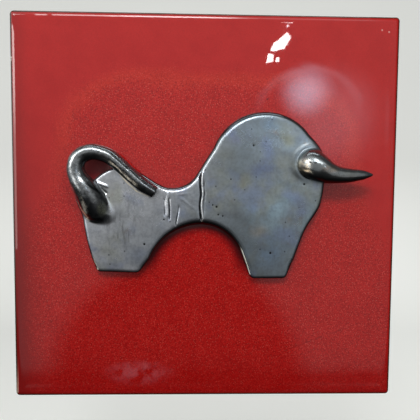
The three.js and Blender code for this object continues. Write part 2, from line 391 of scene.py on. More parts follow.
def surface_of(grid, field):
    """The surface where a field crosses nought, as points and four-sided faces, by surface nets."""
    inside = field < 0
    shape = np.array(field.shape) - 1
    count = np.zeros(shape, np.int8)
    corners = [(i, j, k) for i in (0, 1) for j in (0, 1) for k in (0, 1)]

    def window(values, corner):
        return values[tuple(slice(c, c + n) for c, n in zip(corner, shape))]

    for corner in corners:
        count += window(inside, corner)
    cells = np.argwhere((count > 0) & (count < 8))
    number = np.full(shape, -1, np.int64)
    number[tuple(cells.T)] = np.arange(len(cells))
    total = np.zeros((len(cells), 3))
    crossings = np.zeros(len(cells))
    for corner in corners:
        for axis in range(3):
            if corner[axis]:
                continue
            a = cells + corner
            b = a.copy()
            b[:, axis] += 1
            va = field[tuple(a.T)]
            vb = field[tuple(b.T)]
            crosses = (va < 0) != (vb < 0)
            t = np.where(crosses, va / np.where(crosses, va - vb, 1), 0)
            place = a.astype(float)
            place[:, axis] += t
            total += place * crosses[:, None]
            crossings += crosses
    points = total / crossings[:, None]
    origin = np.array([axis[0] for axis in grid])
    points = origin + points * VOXEL

    faces = []
    for axis in range(3):
        one, two = (axis + 1) % 3, (axis + 2) % 3
        start = inside[tuple(slice(None, -1) if i == axis else slice(1, -1) for i in range(3))]
        end = inside[tuple(slice(1, None) if i == axis else slice(1, -1) for i in range(3))]
        edges = np.argwhere(start != end)
        leaving = start[tuple(edges.T)]
        base = edges.copy()
        base[:, one] += 1
        base[:, two] += 1
        around = []
        for step_one, step_two in ((-1, -1), (0, -1), (0, 0), (-1, 0)):
            cell = base.copy()
            cell[:, one] += step_one
            cell[:, two] += step_two
            around.append(number[tuple(cell.T)])
        quad = np.stack(around, 1)
        quad[~leaving] = quad[~leaving][:, ::-1]
        faces.append(quad)
    return points, np.concatenate(faces)


def with_plain_back(points, faces):
    """The flat back as one face in place of thousands."""
    flat = points[:, 2] < SLAB_BACK + 1e-3
    behind = flat[faces].all(1)
    removed = faces[behind]
    ways = np.concatenate([np.stack([removed[:, i], removed[:, (i + 1) % 4]], 1) for i in range(4)])
    known = {(int(a), int(b)) for a, b in ways}
    following = {a: b for a, b in known if (b, a) not in known}
    loops = []
    while following:
        start = next(iter(following))
        loop = [start]
        while True:
            step = following.pop(loop[-1])
            if step == start:
                break
            loop.append(step)
        loops.append(loop)
    return points, faces[~behind].tolist() + loops


def piece_from(name, points, faces):
    """A shaded mesh object from points in tile coordinates."""
    mesh = bpy.data.meshes.new(name)
    places = np.stack([points[:, 0] * MM, FACE_Y - points[:, 2] * MM, points[:, 1] * MM], 1)
    mesh.from_pydata(places.tolist(), [], faces)
    bm = bmesh.new()
    bm.from_mesh(mesh)
    loose = [v for v in bm.verts if not v.link_faces]
    bmesh.ops.delete(bm, geom=loose, context="VERTS")
    bmesh.ops.recalc_face_normals(bm, faces=bm.faces)
    bm.to_mesh(mesh)
    bm.free()
    mesh.shade_smooth()
    return placed(name, mesh)


def make_bull():
    grid, field = bull_field()
    points, faces = surface_of(grid, without_pinches(field))
    return piece_from("bull_relief_glazed", *with_plain_back(points, faces))


# The tile

def ring(inset, h):
    """A rounded square inset from the tile's outline, at a height over the face, always of as many points."""
    half_width = HALF_WIDTH - inset
    half_height = HALF_HEIGHT - inset
    radius = max(CORNER_RADIUS - 0.6 * inset, 0.25)
    straight = np.linspace(-1, 1, 61)
    straight = straight * (1.5 - 0.5 * straight**2)
    turns = np.radians(np.linspace(0, 90, 10))[1:-1]
    points = []
    for quarter in range(4):
        angle = quarter * math.pi / 2
        along, out = (half_width, half_height) if quarter % 2 == 0 else (half_height, half_width)
        side = [(s * (along - radius), -out) for s in straight]
        side += [(along - radius + radius * math.sin(t), -out + radius - radius * math.cos(t)) for t in turns]
        cos, sin = round(math.cos(angle)), round(math.sin(angle))
        points += [(x * cos - z * sin, x * sin + z * cos, h) for x, z in side]
    return np.array(points)


def tile_shell():
    """The tile without its hollows: rings from the middle of the back round the edge to that of the face."""
    back = -TILE_DEPTH
    rings = [ring(BACK_EDGE, back)]
    for t in np.radians((30, 60, 90)):
        rings.append(ring(BACK_EDGE * (1 - math.sin(t)), back + BACK_EDGE * (1 - math.cos(t))))
    for h in np.linspace(back + 3, -EDGE_DROP - 1, 5):
        rings.append(ring(0, h))
    for t in np.radians(np.linspace(0, 90, 15)):
        rings.append(ring(EDGE_WIDTH * (1 - math.cos(t)), -EDGE_DROP * (1 - math.sin(t))))
    for inset in FACE_RINGS:
        rings.append(ring(inset, 0))
    points = np.concatenate(rings)
    size = len(rings[0])
    face = points[:, 2] > -EDGE_DROP
    x, z = points[:, 0], points[:, 1]
    inset = np.minimum(HALF_WIDTH - np.abs(x), HALF_HEIGHT - np.abs(z))
    waves = ripple(21, 120.0, x, z) + 0.35 * ripple(22, 42.0, x, z)
    lip = 0.05 * np.exp(-(((inset - 6.5) / 2.5) ** 2))
    points[:, 2] += np.where(face, np.clip((inset - 1) / 8, 0, 1) * WAVE_HEIGHT * (waves - 1.2) + lip, 0)
    faces = []
    for r in range(len(rings) - 1):
        for i in range(size):
            j = (i + 1) % size
            faces.append([r * size + i, r * size + j, (r + 1) * size + j, (r + 1) * size + i])
    faces.append(list(range(size))[::-1])
    faces.append([(len(rings) - 1) * size + i for i in range(size)])
    return points, faces


def hollow_cutter():
    """The four hollows in the back, as one mesh to cut with."""
    cutter = bmesh.new()
    width = HALF_WIDTH - RIM_WIDTH - RIB_WIDTH / 2
    height = HALF_HEIGHT - RIM_WIDTH - RIB_WIDTH / 2
    rounding = 1.5
    turns = np.radians(np.linspace(0, 90, 9))
    for side in (-1, 1):
        for end in (-1, 1):
            middle_x = side * (width + RIB_WIDTH) / 2
            middle_z = end * (height + RIB_WIDTH) / 2
            layers = []
            levels = [(-TILE_DEPTH - 1, 0.0), (-TILE_DEPTH + RECESS_DEPTH - rounding, 0.0)]
            levels += [
                (-TILE_DEPTH + RECESS_DEPTH - rounding * (1 - math.sin(t)), rounding * (1 - math.cos(t)))
                for t in np.radians((30, 60, 90))
            ]
            for h, inset in levels:
                loop = []
                radius = RECESS_CORNER_RADIUS - inset
                for quarter, (sx, sz) in enumerate(((1, 1), (-1, 1), (-1, -1), (1, -1))):
                    for t in turns + quarter * math.pi / 2:
                        x = middle_x + sx * (width / 2 - RECESS_CORNER_RADIUS) + radius * math.cos(t)
                        z = middle_z + sz * (height / 2 - RECESS_CORNER_RADIUS) + radius * math.sin(t)
                        loop.append(cutter.verts.new(row_frame(x, z, h)))
                layers.append(loop)
            for lower, upper in zip(layers, layers[1:]):
                for i in range(len(lower)):
                    j = (i + 1) % len(lower)
                    cutter.faces.new((lower[i], lower[j], upper[j], upper[i]))
            cutter.faces.new(layers[0][::-1])
            cutter.faces.new(layers[-1])
    bmesh.ops.recalc_face_normals(cutter, faces=cutter.faces)
    mesh = bpy.data.meshes.new("hollow_cutter")
    cutter.to_mesh(mesh)
    cutter.free()
    return placed("hollow_cutter", mesh)


def make_tile():
    tile = piece_from("glazed_tile_body", *tile_shell())
    cutter = hollow_cutter()
    cut = tile.modifiers.new("hollows", "BOOLEAN")
    cut.operation = "DIFFERENCE"
    cut.solver = "EXACT"
    cut.object = cutter
    bpy.context.view_layer.update()
    depsgraph = bpy.context.evaluated_depsgraph_get()
    mesh = bpy.data.meshes.new_from_object(tile.evaluated_get(depsgraph))
    tile.modifiers.clear()
    tile.data = mesh
    bpy.data.objects.remove(cutter)
    mesh.shade_smooth()
    mesh.set_sharp_from_angle(angle=math.radians(40))
    return tile


# Materials

# The rounded square in which the red glaze is thick, in metres: half width, half height, place of its middle
THICK_WIDTH = 0.062
THICK_HEIGHT = 0.086
THICK_MIDDLE_Z = -0.035
# Faint clouds of colour in the slab's glaze: x, z, half width, half height, share, colour
CLOUDS = [
    (25, 56, 14, 10, 0.7, (118, 116, 150)), (53, 65, 14, 9, 0.7, (98, 124, 150)),
    (60, 53, 12, 10, 0.9, (144, 148, 126)), (14, 34, 16, 22, 0.7, (136, 140, 130)),
    (44, 29, 18, 10, 0.8, (112, 124, 156)), (33, 17, 14, 9, 0.8, (150, 152, 130)),
    (71, 14, 13, 8, 0.9, (152, 156, 132)), (58, 0, 44, 38, 1.2, (142, 162, 172)),
    (22, -8, 14, 18, 0.6, (92, 90, 90)), (41, -17, 11, 9, 0.7, (160, 152, 140)),
    (48, -34, 24, 20, 1.1, (124, 142, 160)), (-48, -36, 20, 12, 0.7, (128, 138, 154)),
    (-30, 2, 18, 12, 0.6, (146, 152, 166)),
]
# Painted shade in the creases on the slab beside the tail, and painted highlights along their pale upper
# edges:
# start, end, half width, share, colour
CREASE_SHADES_AND_HIGHLIGHTS = [
    ((-87.5, 18.9), (-78.0, 11.5), 1.3, 0.95, (12, 12, 14)),
    ((-78.0, 11.5), (-75.2, 4.0), 1.6, 0.75, (30, 32, 36)),
    ((-69.5, 31.0), (-60.1, 20.2), 0.75, 0.9, (232, 222, 198)),
    ((-60.1, 20.2), (-52.5, 13.3), 0.75, 0.9, (232, 222, 198)),
    ((-52.5, 13.3), (-43.7, 9.7), 0.65, 0.7, (226, 218, 198)),
    ((-52.5, 14.8), (-42.5, 9.2), 1.0, 0.6, (20, 22, 24)),
]
# Tints on the coils, most of them painted light: painted shade on the dark side of the tail's root and at its
# black end, painted reflections in the pale green patch there, in the pale brown patch at the root of the
# horn and in the streaks above its middle, and two black spots beside that patch
COIL_SHADES_REFLECTIONS_AND_SPOTS = [
    (-88, 2, 9, 13, 0.8, (44, 46, 50)), (-78, 0, 4, 7, 0.9, (196, 202, 178)),
    (-82, -9, 7, 3.5, 1.0, (12, 12, 14)), (72.5, 33.0, 7.0, 8.0, 0.8, (178, 166, 148)),
    (76.7, 36, 1.2, 1.0, 1.5, (10, 10, 10)), (80, 35.6, 1.3, 1.0, 1.5, (10, 10, 10)),
    (91, 31, 9, 4, 0.5, (150, 132, 112)),
]
# The pale line down the outer side of the tail's root, thin glaze that is partly a painted highlight: start,
# end
PALE_LINES_AND_HIGHLIGHT = [((-100.6, 16.0), (-97.4, 6.0)), ((-97.4, 6.0), (-89.4, -6.6))]


class Nodes:
    """A node tree, with short ways to add what the glazes and the room need."""

    def __init__(self, tree, coordinates="Object"):
        self.tree = tree
        self.place = self.add("ShaderNodeTexCoord").outputs[coordinates]
        self.x, self.y, self.z = self.add("ShaderNodeSeparateXYZ", {0: self.place}).outputs

    def add(self, kind, inputs=None, **settings):
        """A node with its settings, and its inputs by name or number."""
        node = self.tree.nodes.new(kind)
        for name, value in settings.items():
            setattr(node, name, value)
        for name, value in (inputs or {}).items():
            self.link(value, node.inputs[name])
        return node

    def link(self, source, target):
        if isinstance(source, bpy.types.NodeSocket):
            self.tree.links.new(source, target)
        else:
            target.default_value = source

    def math(self, operation, *values):
        return self.add("ShaderNodeMath", dict(enumerate(values)), operation=operation).outputs[0]

    def times(self, value, *others):
        for other in others:
            value = self.math("MULTIPLY", value, other)
        return value

    def plus(self, value, *others):
        for other in others:
            value = self.math("ADD", value, other)
        return value

    def minus(self, a, b):
        return self.math("SUBTRACT", a, b)

    def most(self, a, b):
        return self.math("MAXIMUM", a, b)

    def least(self, a, b):
        return self.math("MINIMUM", a, b)

    def noise(self, scale, detail=2.0, roughness=0.5, distortion=0.0, vector=None):
        numbers = {"Scale": scale, "Detail": detail, "Roughness": roughness, "Distortion": distortion}
        return self.add("ShaderNodeTexNoise", {"Vector": vector or self.place, **numbers}).outputs["Fac"]

    def spots(self, scale, low, high):
        """Round spots, one to a cell, 1 in their middle, and a colour of its own for each cell."""
        node = self.add("ShaderNodeTexVoronoi", {"Vector": self.place, "Scale": scale})
        return self.fall(node.outputs["Distance"], low, high), node.outputs["Color"]

    def ramp(self, value, low, high, start=0.0, end=1.0):
        """A smooth way from start to end while the value goes from low to high."""
        inputs = {"Value": value, "From Min": low, "From Max": high, "To Min": start, "To Max": end}
        return self.add("ShaderNodeMapRange", inputs, interpolation_type="SMOOTHSTEP").outputs["Result"]

    def fall(self, value, low, high):
        """1 up to low, and down to nought at high."""
        return self.ramp(value, low, high, 1.0, 0.0)

    def mix(self, share, a, b):
        """The colour a, and b where the share is 1."""
        return self.add("ShaderNodeMix", {0: share, 6: a, 7: b}, data_type="RGBA").outputs[2]

    def over(self, below, colour, *shares):
        """A colour, 0 to 255, laid over another where all the shares are 1."""
        return self.mix(self.times(*shares), below, srgb(*colour))

    def between(self, share, a, b):
        """The number a, and b where the share is 1."""
        return self.add("ShaderNodeMix", {0: share, 2: a, 3: b}, data_type="FLOAT").outputs[0]

    def distance(self, *offsets):
        """Length of a vector given by its components, each with the size that it is divided by."""
        total = 0.0
        for value, size in offsets:
            total = self.plus(total, self.math("POWER", self.times(value, 1 / size), 2.0))
        return self.math("SQRT", total)

    def moved(self, x, y, z):
        """The place shifted, so that two patterns don't fall together."""
        return self.add("ShaderNodeVectorMath", {0: self.place, 1: (x, y, z)}, operation="ADD").outputs[0]

    def spot_at(self, place, low, high):
        """1 at a place in the row frame, down to nought from one distance to another."""
        node = self.add("ShaderNodeVectorMath", {0: self.place, 1: place}, operation="DISTANCE")
        return self.fall(node.outputs["Value"], low, high)

    def oval(self, x, z, width, height, inner=0.3):
        """1 in the middle of an oval on the face, in millimetres, down to nought at its edge."""
        across = self.minus(self.x, x * MM)
        up = self.minus(self.z, z * MM)
        return self.fall(self.distance((across, width * MM), (up, height * MM)), inner, 1.0)

    def seam(self, start, end, half_width):
        """1 along a straight line on the face, in millimetres, down to nought beside it."""
        length = math.dist(start, end)
        dx, dz = (end[0] - start[0]) / length, (end[1] - start[1]) / length
        x = self.minus(self.x, start[0] * MM)
        z = self.minus(self.z, start[1] * MM)
        along = self.plus(self.times(x, dx), self.times(z, dz))
        across = self.minus(self.times(x, dz), self.times(z, dx))
        past = self.minus(along, self.least(self.most(along, 0.0), length * MM))
        return self.fall(self.distance((past, half_width * MM), (across, half_width * MM)), 0.3, 1.0)

    def bump(self, height, distance, normal=None):
        node = self.add("ShaderNodeBump", {"Strength": 1.0, "Distance": distance, "Height": height})
        if normal is not None:
            self.link(normal, node.inputs["Normal"])
        return node.outputs["Normal"]


def new_material(name):
    material = bpy.data.materials.new(name)
    material.use_nodes = True
    n = Nodes(material.node_tree)
    n.material = material
    n.shader = material.node_tree.nodes["Principled BSDF"]
    return n


def srgb(r, g, b):
    """A colour given as seen, 0 to 255, for a shader."""
    def linear(c):
        c /= 255
        return c / 12.92 if c < 0.04045 else ((c + 0.055) / 1.055) ** 2.4

    return (linear(r), linear(g), linear(b), 1.0)


def red_glaze():
    """Deep red glaze with fine light and dark specks, thin and brown on the edges, and bare clay behind."""
    n = new_material("red_glaze")
    from_left = n.plus(n.x, HALF_WIDTH * MM)
    from_right = n.minus(HALF_WIDTH * MM, n.x)
    from_bottom = n.plus(n.z, HALF_HEIGHT * MM)
    from_top = n.minus(HALF_HEIGHT * MM, n.z)
    inset = n.least(n.least(from_left, from_right), n.least(from_bottom, from_top))
    wander = n.times(n.minus(n.noise(60.0, 3.0), 0.5), 0.0012)

    body = n.mix(n.noise(9.0, 3.0, 0.55), srgb(156, 18, 16), srgb(162, 22, 20))
    body = n.over(body, (152, 14, 13), n.ramp(n.noise(55.0, 4.0, 0.6), 0.35, 0.75))
    # the glaze is thick within a rounded square, and full of specks there
    right = n.most(n.minus(n.math("ABSOLUTE", n.x), THICK_WIDTH), 0.0)
    up = n.most(n.minus(n.math("ABSOLUTE", n.minus(n.z, THICK_MIDDLE_Z)), THICK_HEIGHT), 0.0)
    uneven = n.times(n.minus(n.noise(22.0, 3.0), 0.5), 0.022)
    lower = n.times(n.fall(n.z, -0.09, 0.06), 0.045)
    pool = n.minus(n.plus(n.distance((right, 1.0), (up, 1.0)), uneven), lower)
    thick = n.fall(pool, 0.040, 0.066)
    brim = n.times(n.ramp(pool, 0.038, 0.050), n.fall(pool, 0.050, 0.060))
    brim = n.times(brim, n.ramp(n.z, -0.02, 0.06))
    body = n.over(body, (206, 66, 38), brim, 0.16)

    dark_grain = n.ramp(n.noise(1150.0, 3.0, 0.65), 0.44, 0.64)
    body = n.over(body, (112, 6, 8), dark_grain, n.between(thick, 0.22, 0.75))
    light_grain = n.ramp(n.noise(820.0, 3.0, 0.65, vector=n.moved(0.31, 0.17, 0.05)), 0.52, 0.74)
    body = n.over(body, (208, 62, 54), light_grain, n.between(thick, 0.03, 0.42))
    # pale specks of two sizes: scale, how few of the cells have one, and share
    for scale, chance, amount in ((700.0, 0.50, 0.30), (420.0, 0.84, 0.50)):
        light, tint = n.spots(scale, 0.04, 0.22)
        chosen = n.ramp(tint, chance, chance + 0.1)
        body = n.over(body, (240, 150, 130), light, chosen, n.between(thick, 0.04, amount))
    # a painted reflection, a pale haze low on the left; and painted shade, a dull dark patch under
    # the bend of the tail, where the glaze is also made dull
    haze_reflection = n.distance((n.plus(n.x, 0.052), 0.030), (n.plus(n.z, 0.131), 0.012))
    haze_reflection = n.times(n.fall(haze_reflection, 0.2, 1.1), n.ramp(n.noise(160.0, 3.0), 0.3, 0.7))
    body = n.over(body, (200, 130, 140), haze_reflection, 0.22)
    shade = n.distance((n.plus(n.x, 0.087), 0.013), (n.minus(n.z, 0.031), 0.013))
    shade = n.fall(shade, 0.6, 1.2)
    body = n.over(body, (84, 0, 8), shade, 0.7)

    # painted shadow under the arch of the belly, and the glaze darker along the left and along the bottom
    depths = []
    for middle_x, middle_z, radius, *_ in (BELLY_BEHIND, BELLY_BEFORE):
        away = n.distance(
            (n.minus(n.x, middle_x * HUNDREDTH * MM), MM),
            (n.minus(n.z, middle_z * HUNDREDTH * MM), MM),
        )
        depths.append(n.minus(radius * HUNDREDTH, away))
    crown = BELLY_BEHIND[0] * HUNDREDTH
    depth = n.between(n.ramp(n.x, (crown - 2) * MM, (crown + 2) * MM), *depths)
    arch = n.times(n.ramp(depth, -4.0, -2.0), n.fall(depth, 0.5, 10.0))
    arch = n.times(arch, n.ramp(n.z, -0.056, -0.034), n.fall(n.z, -0.012, -0.006))
    body = n.over(body, (52, 2, 6), arch, 0.9)
    left_darkening = n.times(n.fall(from_left, 0.004, 0.030), n.fall(n.z, -0.06, 0.14))
    left_darkening = n.plus(n.times(left_darkening, 0.55), n.times(n.fall(from_left, 0.003, 0.016), 0.30))
    body = n.over(body, (104, 14, 14), left_darkening)
    body = n.over(body, (118, 8, 8), n.fall(from_bottom, 0.003, 0.045), 0.35)
    # it is thin along the edges, less so down the side walls
    thin = n.fall(n.plus(inset, wander), 0.0009, 0.0024)
    side = n.ramp(n.y, FACE_Y + (EDGE_DROP - 0.2) * MM, FACE_Y + (EDGE_DROP + 2.4) * MM)
    thin = n.times(thin, n.between(side, 1.0, 0.35))
    body = n.over(body, (56, 38, 26), thin)
    # two pale marks, a scratch, a pale mark on the left edge and a dark speck
    for x, z in ((135.5, 139.2), (141.0, 137.9)):
        body = n.over(body, (226, 180, 172), n.oval(x, z, 1.0, 1.0), 0.4)
    scratch = n.times(n.seam((64.4, -112.9), (134.9, -86.8), 0.8), n.ramp(n.noise(200.0, 3.0), 0.35, 0.6))
    body = n.over(body, (90, 8, 10), scratch, 0.35)
    pale_edge_mark = n.times(n.oval(-149.3, 114.0, 1.1, 3.0), n.ramp(n.noise(900.0, 2.0), 0.42, 0.5))
    body = n.over(body, (222, 214, 200), pale_edge_mark)
    body = n.over(body, (40, 14, 16), n.oval(47.1, 85.4, 0.9, 0.9), 0.8)

    # the back and its hollows are bare
    behind = n.plus(n.y, n.times(n.minus(n.noise(70.0, 3.0), 0.5), 0.002))
    hollow = n.ramp(n.y, -(RECESS_DEPTH + 1.8) * MM, -(RECESS_DEPTH + 1.0) * MM)
    hollow = n.times(hollow, n.ramp(inset, (RIM_WIDTH - 4.5) * MM, (RIM_WIDTH - 3.5) * MM))
    bare = n.most(n.ramp(behind, -0.0024, -0.0020), hollow)
    clay = n.mix(n.noise(120.0, 5.0, 0.65), srgb(206, 188, 164), srgb(188, 164, 138))
    clay = n.over(clay, (120, 96, 78), n.ramp(n.noise(700.0, 2.0), 0.62, 0.7), 0.6)
    n.link(n.mix(bare, body, clay), n.shader.inputs["Base Color"])

    gloss = n.between(n.noise(30.0, 3.0), 0.02, 0.035)
    gloss = n.between(shade, gloss, 0.55)
    n.link(n.between(bare, gloss, 0.85), n.shader.inputs["Roughness"])
    n.shader.inputs["IOR"].default_value = 1.5

    normal = n.bump(n.noise(26.0, 2.0, 0.4), 0.00010)
    normal = n.bump(n.noise(160.0, 2.0, 0.5), 0.000010, normal=normal)
    n.link(n.bump(n.times(bare, n.noise(900.0, 4.0, 0.7)), 0.0004, normal=normal), n.shader.inputs["Normal"])
    return n.material


def metallic_glaze():
    """Gunmetal glaze with faint blue, green and brown clouds, some pits, and glossy mottled coils."""
    n = new_material("metallic_glaze")
    out = n.minus(FACE_Y, n.y)
    coil = n.ramp(out, (SLAB_FACE + 0.7) * MM, (SLAB_FACE + 3.0) * MM)
    neutral = n.mix(n.ramp(n.noise(17.0, 3.0, 0.6), 0.35, 0.65), srgb(180, 183, 187), srgb(161, 167, 174))
    teal = n.mix(n.ramp(n.noise(21.0, 3.0, 0.6), 0.35, 0.65), srgb(120, 130, 136), srgb(131, 141, 146))
    base = n.mix(n.ramp(n.x, -0.03, 0.03), neutral, teal)
    clouds = n.ramp(n.noise(48.0, 3.0, 0.55), 0.32, 0.62)
    for x, z, width, height, share, colour in CLOUDS:
        base = n.over(base, colour, n.oval(x, z, width, height, 0.0), clouds, share)
    base = n.over(base, (152, 154, 136), n.ramp(n.noise(29.0, 3.0, 0.55), 0.50, 0.68), 0.5)
    base = n.over(base, (118, 132, 168), n.ramp(n.noise(38.0, 3.0, 0.55), 0.50, 0.68), 0.5)
    base = n.over(base, (136, 118, 104), n.ramp(n.noise(64.0, 4.0, 0.65), 0.58, 0.74), 0.35)
    upright = n.add("ShaderNodeMapping", {"Vector": n.place, "Scale": (1.0, 1.0, 0.16)}).outputs[0]
    streaks = n.ramp(n.noise(330.0, 3.0, 0.6, vector=upright), 0.50, 0.72)
    streaks = n.times(streaks, n.between(n.oval(-63.0, -14.0, 24.0, 26.0, 0.2), 0.10, 0.45))
    base = n.over(base, (66, 60, 56), streaks)

    # the coils are darker and glossier, and mottled on the tail; painted shade makes what faces down black
    base = n.over(base, (124, 128, 128), coil, 0.75)
    broken = n.ramp(n.noise(150.0, 3.0), 0.25, 0.45)
    # painted shade in the creases beside the tail and painted highlights along their edges
    for start, end, half_width, share, colour in CREASE_SHADES_AND_HIGHLIGHTS:
        base = n.over(base, colour, n.seam(start, end, half_width), broken, share)
    on_tail = n.fall(n.x, -0.03, -0.01)
    mottle = n.ramp(n.noise(430.0, 4.0, 0.7), 0.44, 0.60)
    mottle = n.times(mottle, coil, n.between(on_tail, 0.25, 1.0))
    base = n.over(base, (52, 58, 60), mottle, 0.5)
    # painted shade: black wherever the surface faces down, a little less on the coils
    facing = n.add("ShaderNodeSeparateXYZ", {0: n.add("ShaderNodeNewGeometry").outputs["Normal"]})
    under = n.fall(facing.outputs["Z"], -0.75, -0.10)
    base = n.over(base, (18, 20, 22), under, n.between(coil, 0.92, 0.86))
    grain = n.ramp(n.noise(240.0, 4.0, 0.7, 0.8), 0.34, 0.50)
    # the tints, painted shade and painted reflections on the coils
    for x, z, width, height, share, colour in COIL_SHADES_REFLECTIONS_AND_SPOTS:
        base = n.over(base, colour, n.oval(x, z, width, height), grain, coil, share)
    # the pale line, thin glaze and partly a painted highlight, is also less metallic
    pale = 0.0
    for start, end in PALE_LINES_AND_HIGHLIGHT:
        pale = n.most(pale, n.seam(start, end, 1.4))
    pale = n.times(pale, grain, coil)
    base = n.over(base, (206, 190, 164), pale)
    # painted shade makes the side wall of the slab dark all round; its face is dotted and pitted, with
    # painted shade in the listed pits
    wall = n.fall(out, (SLAB_FACE - 1.9) * MM, (SLAB_FACE - 0.35) * MM)
    base = n.over(base, (34, 32, 32), wall, 0.85)
    fine = n.ramp(n.noise(420.0, 3.0, 0.6), 0.40, 0.66)
    base = n.over(base, (84, 88, 90), fine, 0.22)
    patchy = n.ramp(n.noise(110.0, 3.0, 0.6), 0.35, 0.65)
    base = n.over(base, (96, 98, 100), patchy, 0.16)
    pits, tint = n.spots(260.0, 0.10, 0.2)
    base = n.over(base, (30, 30, 32), pits, n.ramp(tint, 0.84, 0.9), 0.7)
    for x, z, radius in PITS:
        pit_shade = n.spot_at(row_frame(x, z, SLAB_FACE - 0.3), 0.6 * radius * MM, 1.3 * radius * MM)
        base = n.over(base, (10, 10, 12), pit_shade)
    # painted shade makes the strokes black, and painted highlights make the burrs beside them pale
    sunk = n.fall(out, (SLAB_FACE - 0.55) * MM, (SLAB_FACE - 0.15) * MM)
    raised = n.ramp(out, (SLAB_FACE + 0.1) * MM, (SLAB_FACE + 0.5) * MM)
    broken = n.ramp(n.noise(220.0, 3.0, 0.7), 0.30, 0.50)
    for (x0, z0), (x1, z1), width, depth in STROKES:
        if abs(depth) < 0.3:
            continue
        lean = n.times(n.minus(n.z, z0 * MM), (x1 - x0) / (z1 - z0))
        off = n.math("ABSOLUTE", n.minus(n.minus(n.x, x0 * MM), lean))
        line = n.fall(off, (width + 0.3) * MM, (width + 0.9) * MM)
        ends = n.times(n.fall(n.z, (z0 - 1.5) * MM, z0 * MM), n.ramp(n.z, (z1 - 1.0) * MM, z1 * MM))
        colour, where = ((12, 14, 16), sunk) if depth > 0 else ((214, 218, 220), raised)
        base = n.over(base, colour, line, ends, broken, where, 0.9)
    n.link(base, n.shader.inputs["Base Color"])
    n.link(n.between(pale, 0.94, 0.2), n.shader.inputs["Metallic"])
    rough = n.between(n.noise(24.0, 3.0, 0.6), 0.24, 0.32)
    rough = n.between(n.fall(out, (SLAB_FACE - 0.9) * MM, (SLAB_FACE - 0.3) * MM), rough, 0.12)
    rough = n.between(coil, rough, n.between(n.noise(160.0, 3.0, 0.6), 0.12, 0.26))
    n.link(n.plus(rough, n.times(fine, 0.03)), n.shader.inputs["Roughness"])
    normal = n.bump(n.noise(75.0, 2.0, 0.4), 0.00004)
    normal = n.bump(n.noise(380.0, 2.0, 0.4), 0.000003, normal=normal)
    normal = n.bump(n.times(mottle, -1.0), 0.00002, normal=normal)
    n.link(normal, n.shader.inputs["Normal"])
    return n.material


# Making the pieces

def dress(piece, node, material):
    piece.data.materials.clear()
    piece.data.materials.append(material)
    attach(piece, "root")
    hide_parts(node)


dress(make_tile(), "glazed_tile", red_glaze())
dress(make_bull(), "bull_relief", metallic_glaze())


# The stage: a pale floor that turns up into a pale backdrop well behind the tile

FLOOR_Z = -0.38
BACKDROP_Y = 1.3
COVE_RADIUS = 0.5
STAGE_REACH = 4.0


def make_stage():
    profile = [(-STAGE_REACH, FLOOR_Z), (BACKDROP_Y - COVE_RADIUS, FLOOR_Z)]
    for t in np.radians(np.linspace(0, 90, 17)):
        profile.append((
            BACKDROP_Y - COVE_RADIUS + COVE_RADIUS * math.sin(t),
            FLOOR_Z + COVE_RADIUS * (1 - math.cos(t)),
        ))
    profile.append((BACKDROP_Y, STAGE_REACH))
    verts = [(x, y, z) for y, z in profile for x in (-STAGE_REACH, STAGE_REACH)]
    faces = [(2 * i, 2 * i + 1, 2 * i + 3, 2 * i + 2) for i in range(len(profile) - 1)]
    mesh = bpy.data.meshes.new("stage")
    mesh.from_pydata(verts, [], faces)
    mesh.shade_smooth()
    stage = placed("stage", mesh)
    n = new_material("stage_paper")
    n.link(n.mix(n.noise(3.0), srgb(228, 229, 225), srgb(222, 224, 220)), n.shader.inputs["Base Color"])
    n.shader.inputs["Roughness"].default_value = 0.9
    n.shader.inputs["Emission Color"].default_value = srgb(235, 237, 232)
    n.shader.inputs["Emission Strength"].default_value = 0.34
    mesh.materials.append(n.material)
    stage.visible_glossy = False
    stage.visible_diffuse = False


make_stage()


# Light

def world_light():
    """The room as the glaze mirrors it: bright before, above and on the left, dark below and low in front.

    The camera itself sees plain pale grey.
    """
    world = bpy.data.worlds.new("room")
    bpy.context.scene.world = world
    world.use_nodes = True
    world.node_tree.nodes.clear()
    n = Nodes(world.node_tree, "Generated")
    forward = n.times(n.y, -1.0)
    ahead = n.most(forward, 0.05)
    right = n.math("DIVIDE", n.x, ahead)
    up = n.math("DIVIDE", n.z, ahead)

    room = n.plus(0.62, n.times(up, 0.35))
    low = n.ramp(n.distance((n.plus(right, 0.05), 0.31), (n.plus(up, 0.48), 0.32)), 0.85, 1.12)
    middle = n.ramp(n.distance((right, 0.15), (n.plus(up, 0.195), 0.115)), 0.75, 1.10)
    screened = n.between(n.times(low, middle), 0.16, 1.0)
    floor = n.between(n.ramp(up, -0.47, -0.42), 0.16, 1.0)
    room = n.times(room, screened, floor)
    above = n.times(n.ramp(n.z, 0.25, 0.6), n.between(n.ramp(n.z, 0.78, 0.92), 1.0, 0.12))
    above = n.times(above, n.fall(n.x, -0.2, 0.5), n.ramp(forward, 0.0, 0.4))
    left = n.times(n.fall(n.x, -0.9, -0.6), n.ramp(n.z, -0.35, 0.1), n.ramp(forward, -0.25, 0.0))
    around = n.plus(n.times(above, 1.1), n.times(left, 1.2))
    around = n.plus(around, n.between(n.ramp(n.z, -0.5, 0.3), 0.02, 0.10))
    strength = n.between(n.ramp(forward, 0.45, 0.80), around, room)

    def light(strength, colour):
        return n.add("ShaderNodeBackground", {"Color": colour, "Strength": strength}).outputs[0]

    seen = n.add("ShaderNodeLightPath").outputs["Is Camera Ray"]
    both = {0: seen, 1: light(strength, srgb(250, 250, 250)), 2: light(1.0, srgb(228, 231, 225))}
    n.add("ShaderNodeOutputWorld", {"Surface": n.add("ShaderNodeMixShader", both).outputs[0]})


